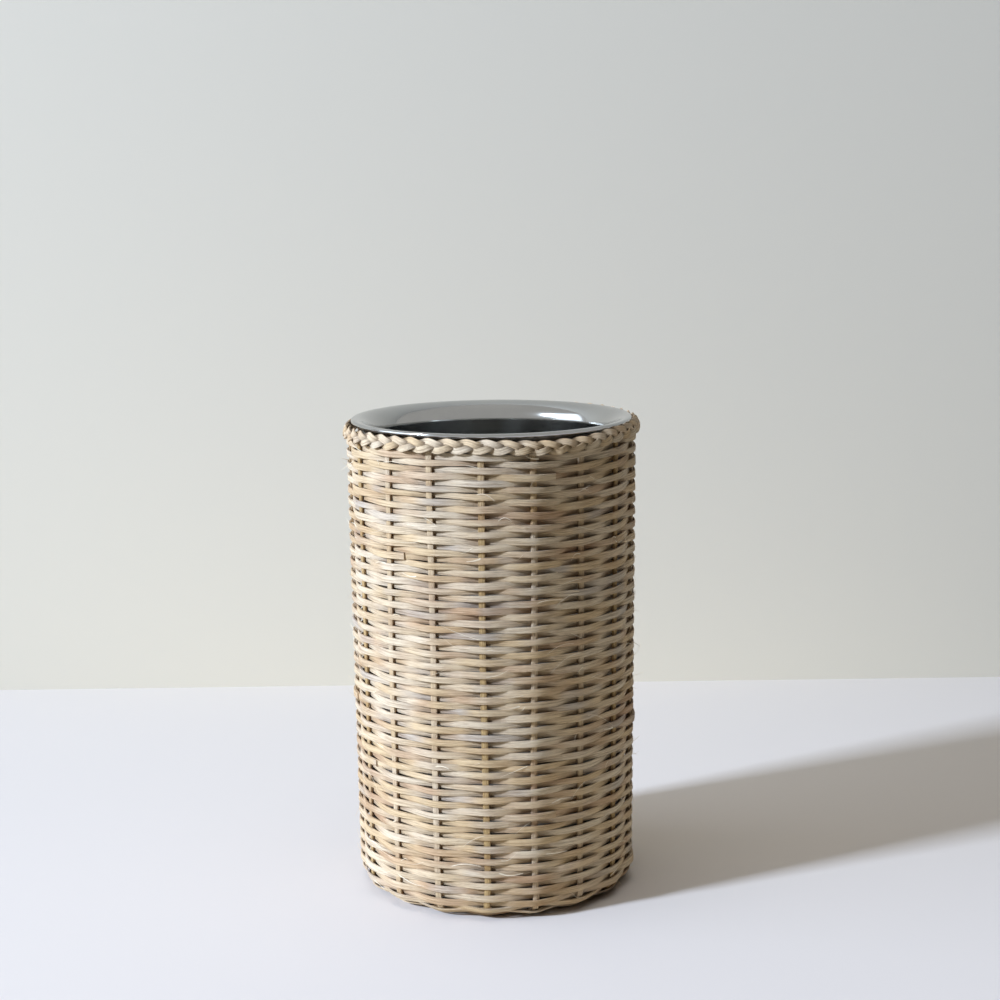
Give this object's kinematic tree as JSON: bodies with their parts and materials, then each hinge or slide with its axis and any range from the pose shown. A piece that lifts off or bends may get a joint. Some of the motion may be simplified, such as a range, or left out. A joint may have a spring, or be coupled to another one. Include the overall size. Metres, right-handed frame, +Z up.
{
  "type": "wine bottle chiller",
  "caption": "Round woven rattan basket with a plaited border, holding a lift-out double-walled steel liner with a flared rolled rim that keeps a bottle cool.",
  "frame": {"origin": "centre of the circle the basket stands on, at table level", "axes": "+Z up along the basket's axis, -Y to the viewer at the front"},
  "size_m": [0.1262, 0.1262, 0.2035],
  "materials": {
    "rattan_stake": "natural honey-coloured rattan",
    "rattan_weaver": "natural pale split rattan",
    "rattan_plait": "natural pale split rattan",
    "polished_steel": "polished stainless sheet"
  },
  "bodies": {
    "basket": {"long_stake_1": "rattan_stake", "long_stake_2": "rattan_stake", "long_stake_3": "rattan_stake", "long_stake_4": "rattan_stake", "long_stake_5": "rattan_stake", "long_stake_6": "rattan_stake", "long_stake_7": "rattan_stake", "long_stake_8": "rattan_stake", "odd_stake": "rattan_stake", "wall_weaver_1": "rattan_weaver", "wall_weaver_2": "rattan_weaver", "wall_weaver_3": "rattan_weaver", "wall_weaver_4": "rattan_weaver", "wall_weaver_5": "rattan_weaver", "wall_weaver_6": "rattan_weaver", "foot_weaver": "rattan_weaver", "floor_weaver": "rattan_weaver", "plait_strand_1": "rattan_plait", "plait_strand_2": "rattan_plait", "plait_strand_3": "rattan_plait"},
    "liner": {"liner_inner_cup": "polished_steel", "liner_outer_shell": "polished_steel", "liner_base_plate": "polished_steel"}
  },
  "joints": [
    {"name": "liner_lift", "type": "slide", "parent": "basket", "child": "liner", "axis": [0, 0, 1], "range_m": [0, 0.205]}
  ]
}
